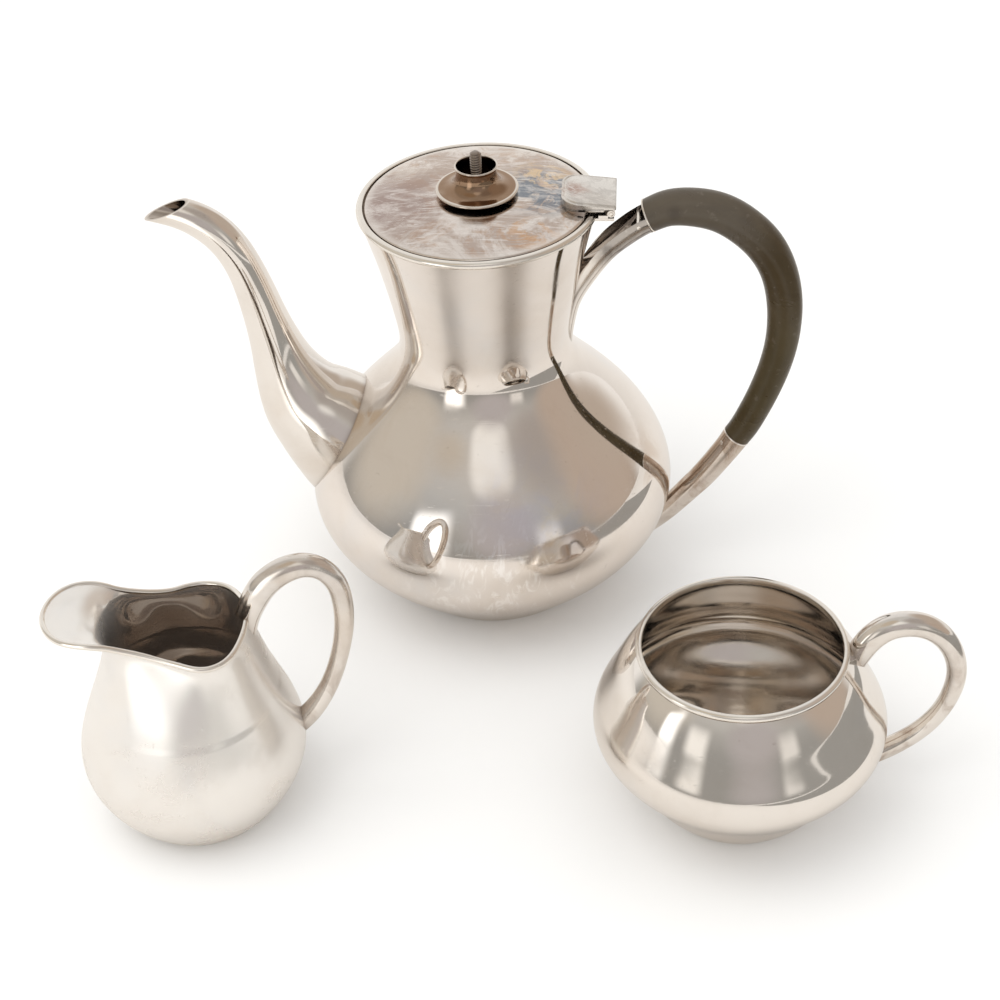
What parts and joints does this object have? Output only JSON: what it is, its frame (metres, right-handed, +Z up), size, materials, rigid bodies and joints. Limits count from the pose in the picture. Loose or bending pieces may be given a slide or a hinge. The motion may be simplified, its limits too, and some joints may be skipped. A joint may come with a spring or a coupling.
{
  "type": "coffee service",
  "caption": "Silver-plated service: a tall-necked pot with a hinged lid, swan spout and dark wood handle, with a lipped jug and an open sugar bowl.",
  "frame": {"origin": "the centre of the coffee pot's foot circle, on the table", "axes": "+Z up along the pot's axis and its lid stud; +X from the pot towards its handle, so the spout points to -X; the jug and the bowl stand towards -Y"},
  "size_m": [0.3545, 0.2836, 0.213],
  "materials": {
    "silver": "smooth silver plate with fine scratches and a little tarnish",
    "worn_silver": "silver plate with brown tarnish",
    "dark_wood": "dark satin wood, worn"
  },
  "bodies": {
    "pot": {"pot_body": "silver", "pot_foot_ring": "silver", "pot_mouth_wire": "silver", "lid_seat": "silver", "spout": "silver", "pot_hinge_leaf": "silver", "hinge_pin": "silver", "upper_socket": "worn_silver", "upper_ferrule": "silver", "lower_socket": "worn_silver", "lower_ferrule": "silver", "handle_grip": "dark_wood", "upper_rivet": "silver", "lower_rivet": "silver"},
    "lid": {"lid_plate": "worn_silver", "lid_bezel": "silver", "knob_cup": "worn_silver", "knob_stud": "worn_silver", "stud_washer": "silver", "stud_nut": "silver", "lid_hinge_leaf": "worn_silver"},
    "jug": {"jug_body": "silver", "jug_rim_wire": "silver", "jug_foot_ring": "silver", "jug_handle": "silver"},
    "bowl": {"bowl_body": "silver", "bowl_rim_wire": "silver", "bowl_foot_ring": "silver", "bowl_handle": "silver"}
  },
  "joints": [
    {"name": "lid_hinge", "type": "hinge", "parent": "pot", "child": "lid", "pos_m": [0.0545, 0, 0.1909], "axis": [0, 1, 0], "range_deg": [0, 90]},
    {"name": "jug_lift", "type": "slide", "parent": "pot", "child": "jug", "axis": [0, 0, 1], "range_m": [0, 0.15]},
    {"name": "bowl_lift", "type": "slide", "parent": "pot", "child": "bowl", "axis": [0, 0, 1], "range_m": [0, 0.15]}
  ]
}
